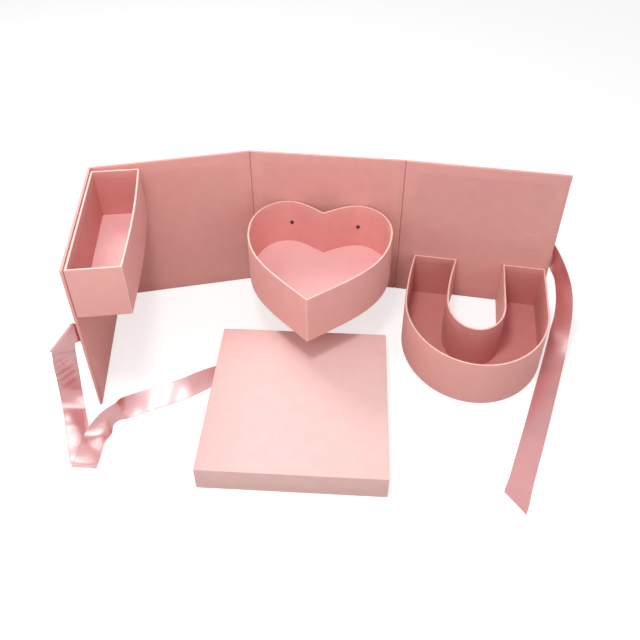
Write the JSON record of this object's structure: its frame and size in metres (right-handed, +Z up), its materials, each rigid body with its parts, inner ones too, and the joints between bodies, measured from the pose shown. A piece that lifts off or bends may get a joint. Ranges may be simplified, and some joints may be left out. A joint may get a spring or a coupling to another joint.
{
  "type": "folding flower gift box",
  "caption": "Open keepsake gift box of hinged pink panels that carry letter-shaped flower trays, with a square cap lid lying in front and satin ribbons.",
  "frame": {"origin": "middle of the bounding box at table height", "axes": "+X along the wide panel row, from the panel with the oblong tray to the panel with the U tray; -Y towards the open inside and the lid; +Z up"},
  "size_m": [0.6146, 0.35, 0.216],
  "materials": {
    "pink_wrap_paper": "satin",
    "pink_liner_paper": "matte",
    "rose_tray_lining": "matte",
    "pale_lid_paper": "satin",
    "greyboard": "matte",
    "rose_satin": "gloss",
    "plated_steel": "satin"
  },
  "bodies": {
    "panel_3": {"panel_3_board": "greyboard", "panel_3_wrap": "pink_wrap_paper", "panel_3_liner": "pink_liner_paper", "hinge_fold_23": "pink_wrap_paper", "hinge_fold_34": "pink_wrap_paper", "heart_tray_wall_board": "greyboard", "heart_tray_wrap": "pink_wrap_paper", "heart_tray_lining": "rose_tray_lining", "heart_tray_base_board": "greyboard", "heart_tray_floor_sheet": "rose_tray_lining", "heart_screw_left": "plated_steel", "heart_screw_right": "plated_steel"},
    "panel_2": {"panel_2_board": "greyboard", "panel_2_wrap": "pink_wrap_paper", "panel_2_liner": "pink_liner_paper", "hinge_fold_12": "pink_wrap_paper"},
    "panel_1": {"panel_1_board": "greyboard", "panel_1_wrap": "pink_wrap_paper", "panel_1_liner": "pink_liner_paper", "i_tray_wall_board": "greyboard", "i_tray_wrap": "pink_wrap_paper", "i_tray_lining": "rose_tray_lining", "i_tray_base_board": "greyboard", "i_tray_floor_sheet": "rose_tray_lining", "ribbon_left": "rose_satin"},
    "panel_4": {"panel_4_board": "greyboard", "panel_4_wrap": "pink_wrap_paper", "panel_4_liner": "pink_liner_paper", "u_tray_wall_board": "greyboard", "u_tray_wrap": "pink_wrap_paper", "u_tray_lining": "rose_tray_lining", "u_tray_base_board": "greyboard", "u_tray_floor_sheet": "rose_tray_lining", "ribbon_right": "rose_satin"},
    "lid": {"lid_wrap": "pale_lid_paper", "lid_top_board": "greyboard", "lid_liner": "pale_lid_paper", "lid_skirt_board_front": "greyboard", "lid_skirt_board_right": "greyboard", "lid_skirt_board_back": "greyboard", "lid_skirt_board_left": "greyboard"}
  },
  "joints": [
    {"name": "fold_23", "type": "hinge", "parent": "panel_3", "child": "panel_2", "pos_m": [-0.11532, 0.17318, 0], "axis": [0, 0, 1], "range_deg": [-18.02, 71]},
    {"name": "fold_12", "type": "hinge", "parent": "panel_2", "child": "panel_1", "pos_m": [-0.30551, 0.11131, 0], "axis": [0, 0, 1], "range_deg": [-84.72, 5.28], "deforming": ["ribbon_left"]},
    {"name": "fold_34", "type": "hinge", "parent": "panel_3", "child": "panel_4", "pos_m": [0.08468, 0.17318, 0], "axis": [0, 0, -1], "range_deg": [-22, 86.67], "deforming": ["ribbon_right"]},
    {"name": "lid_slide", "type": "slide", "parent": "panel_3", "child": "lid", "axis": [0, -1, 0], "range_m": [-0.1145, 0.4505]}
  ],
  "couplings": [
    {"joint": "fold_34", "follows": "fold_23", "ratio": 1.2206},
    {"joint": "lid_slide", "follows": "fold_23", "m_per_rad": 0.36315}
  ]
}
